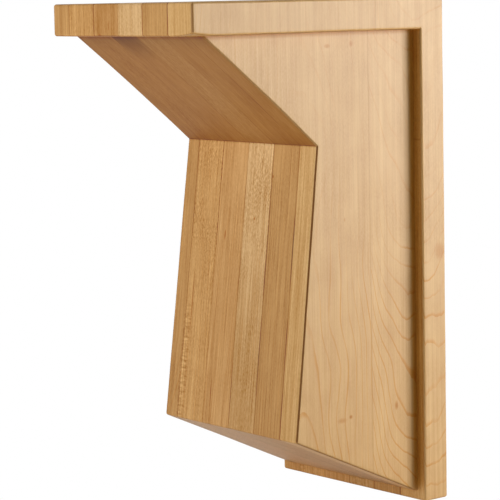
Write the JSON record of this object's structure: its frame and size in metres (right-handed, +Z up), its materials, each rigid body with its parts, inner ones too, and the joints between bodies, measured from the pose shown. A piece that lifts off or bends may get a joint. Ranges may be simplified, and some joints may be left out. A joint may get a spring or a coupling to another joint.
{
  "type": "wooden corbel bracket",
  "caption": "Plain hardwood wall corbel: flat shelf and flat back in an L, carried by a solid bracket with a sloping soffit, a leaning front face and a cut-back foot.",
  "frame": {"origin": "centre of the flat face that lies on the wall", "axes": "+Y into the wall, -Y out towards the front edge of the shelf, +Z up, +X to the right as seen from the front"},
  "size_m": [0.133, 0.1905, 0.305],
  "materials": {
    "maple": "oiled satin"
  },
  "bodies": {
    "root": {"corbel": "maple"}
  },
  "joints": []
}
